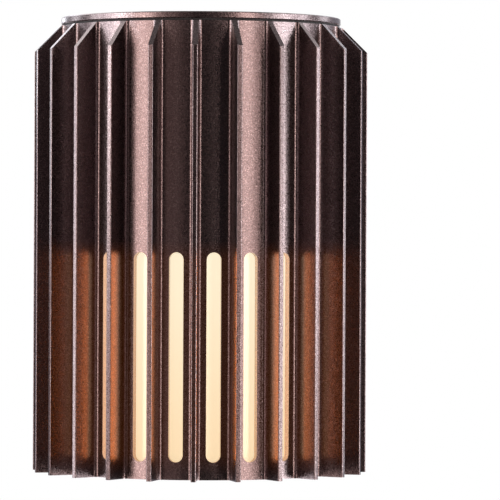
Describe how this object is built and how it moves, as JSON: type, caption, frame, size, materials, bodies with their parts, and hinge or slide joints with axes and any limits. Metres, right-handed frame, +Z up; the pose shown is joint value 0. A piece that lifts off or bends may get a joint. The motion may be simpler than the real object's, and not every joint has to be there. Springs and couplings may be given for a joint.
{
  "type": "outdoor wall light",
  "caption": "Round finned outdoor wall light: cast drum with radial fins, flat cap, upright light slots over an opal cup, and a wall box on a steel bracket.",
  "frame": {"origin": "middle of the bracket's back face, on the wall", "axes": "+Y into the wall, +Z up along the drum's axis, front of the light towards -Y"},
  "size_m": [0.174, 0.179, 0.2362],
  "materials": {
    "powder_coat": "cast, fine textured rosy brown powder coat",
    "zinc_steel": "zinc plated",
    "stainless": "brushed stainless steel",
    "white_paint": "white gloss paint",
    "black_rubber": "matt black rubber",
    "grey_silicone": "soft grey silicone",
    "opal": "warm opal, satin",
    "black_plastic": "moulded, satin",
    "white_plastic": "moulded, satin",
    "porcelain": "glazed",
    "brass": "bright",
    "bulb_opal": "opal bulb",
    "nickel": "nickel plated",
    "board": "white solder mask",
    "phosphor": "yellow phosphor",
    "brown_lead": "silicone sleeve",
    "blue_lead": "silicone sleeve",
    "earth_lead": "green and yellow sleeve",
    "tinned_copper": "tin plated"
  },
  "bodies": {
    "wall_mount": {"wall_bracket": "zinc_steel", "wall_gasket": "black_rubber", "cable_grommet": "black_rubber"},
    "housing": {"finned_housing": "powder_coat", "top_cap": "powder_coat", "cap_gasket": "black_rubber", "cap_screws": "stainless", "lamp_tray": "white_paint", "tray_screws": "zinc_steel", "lampholder_skirt": "black_plastic", "lampholder_dome": "black_plastic", "lampholder_insert": "porcelain", "lampholder_sleeve": "brass", "centre_contact": "brass", "holder_nipple": "zinc_steel", "nipple_nut": "zinc_steel", "terminal_block": "white_plastic", "terminal_clamps": "brass", "terminal_screws": "zinc_steel", "block_screw": "zinc_steel", "earth_lug": "tinned_copper", "earth_screw": "brass", "earth_nut": "brass", "live_lead": "brown_lead", "neutral_lead": "blue_lead", "earth_lead": "earth_lead"},
    "lock_washer_left": {"lock_washer_left": "white_plastic"},
    "lock_screw_left": {"lock_screw_left": "stainless"},
    "lock_washer_right": {"lock_washer_right": "white_plastic"},
    "lock_screw_right": {"lock_screw_right": "stainless"},
    "cover_seal": {"cover_seal": "black_rubber"},
    "cover": {"cover_ring": "powder_coat", "diffuser_cup": "opal", "diffuser_gasket": "grey_silicone"},
    "lamp_contact": {"lamp_contact_button": "tinned_copper"},
    "lamp": {"lamp_globe": "bulb_opal", "lamp_body": "white_plastic", "led_board": "board", "led_chips": "phosphor", "driver_board": "board", "lamp_base_shell": "nickel", "lamp_insulator": "black_plastic"}
  },
  "joints": [
    {"name": "housing_release", "type": "slide", "parent": "wall_mount", "child": "housing", "axis": [0, -1, 0], "range_m": [0, 0.045]},
    {"name": "cover_travel", "type": "slide", "parent": "housing", "child": "cover_seal", "axis": [0, 0, -1], "range_m": [0, 0.0075]},
    {"name": "cover_turn", "type": "hinge", "parent": "cover_seal", "child": "cover", "pos_m": [0, -0.092, -0.12], "axis": [0, 0, -1], "range_deg": [0, 900.5]},
    {"name": "lamp_travel", "type": "slide", "parent": "housing", "child": "lamp_contact", "axis": [0, 0, -1], "range_m": [0, 0.01815]},
    {"name": "lamp_turn", "type": "hinge", "parent": "lamp_contact", "child": "lamp", "pos_m": [0, -0.092, 0], "axis": [0, 0, -1], "range_deg": [0, 1800.5]},
    {"name": "lock_screw_left_travel", "type": "slide", "parent": "wall_mount", "child": "lock_washer_left", "axis": [-1, 0, 0], "range_m": [0, 0.0028]},
    {"name": "lock_screw_left_turn", "type": "hinge", "parent": "lock_washer_left", "child": "lock_screw_left", "pos_m": [-0.047, -0.012, 0], "axis": [-1, 0, 0], "range_deg": [0, 1440.5]},
    {"name": "lock_screw_right_travel", "type": "slide", "parent": "wall_mount", "child": "lock_washer_right", "axis": [1, 0, 0], "range_m": [0, 0.0028]},
    {"name": "lock_screw_right_turn", "type": "hinge", "parent": "lock_washer_right", "child": "lock_screw_right", "pos_m": [0.047, -0.012, 0], "axis": [1, 0, 0], "range_deg": [0, 1440.5]}
  ],
  "couplings": [
    {"joint": "cover_turn", "follows": "cover_travel", "rad_per_m": 2094.4},
    {"joint": "lamp_turn", "follows": "lamp_travel", "rad_per_m": 1731.4},
    {"joint": "lock_screw_left_turn", "follows": "lock_screw_left_travel", "rad_per_m": 8976},
    {"joint": "lock_screw_right_turn", "follows": "lock_screw_right_travel", "rad_per_m": 8976}
  ]
}
